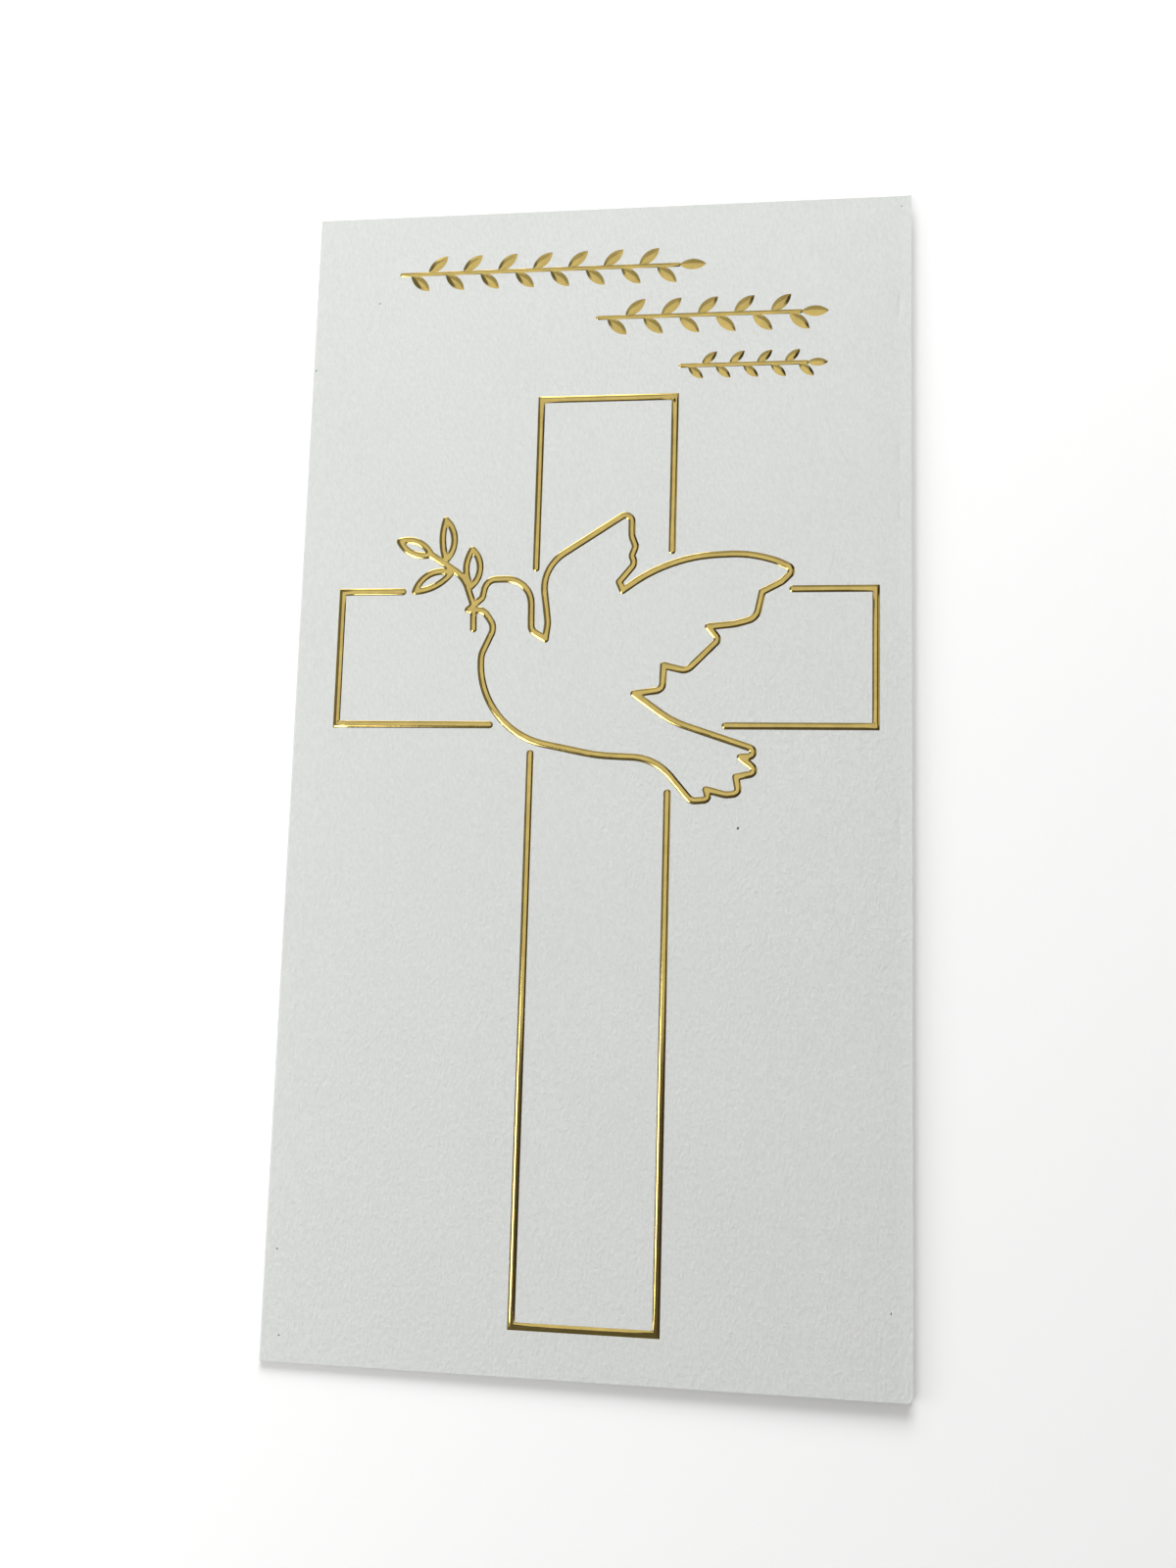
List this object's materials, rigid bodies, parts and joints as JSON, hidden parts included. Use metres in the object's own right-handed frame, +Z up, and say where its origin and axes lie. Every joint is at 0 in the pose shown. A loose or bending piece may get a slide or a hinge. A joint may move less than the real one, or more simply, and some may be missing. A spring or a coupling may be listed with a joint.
{
  "type": "greeting card",
  "caption": "Slim folded greeting card of white felt-marked stock, its front stamped with a raised gold foil cross outline, a dove with an olive sprig and leaf garlands.",
  "frame": {"origin": "middle of the card's outline at the underside of the back leaf", "axes": "+X to the card's right, where it opens, +Y to the top of its design, +Z up out of the front leaf"},
  "size_m": [0.09, 0.17, 0.0017],
  "materials": {
    "card_stock": "matt white uncoated card with a fine felt mark and a few dark specks",
    "gold_foil": "satin gold stamping foil, raised and slightly grainy"
  },
  "bodies": {
    "root": {"card": "card_stock", "foil_cross": "gold_foil", "foil_dove": "gold_foil", "foil_ornament": "gold_foil"}
  },
  "joints": []
}
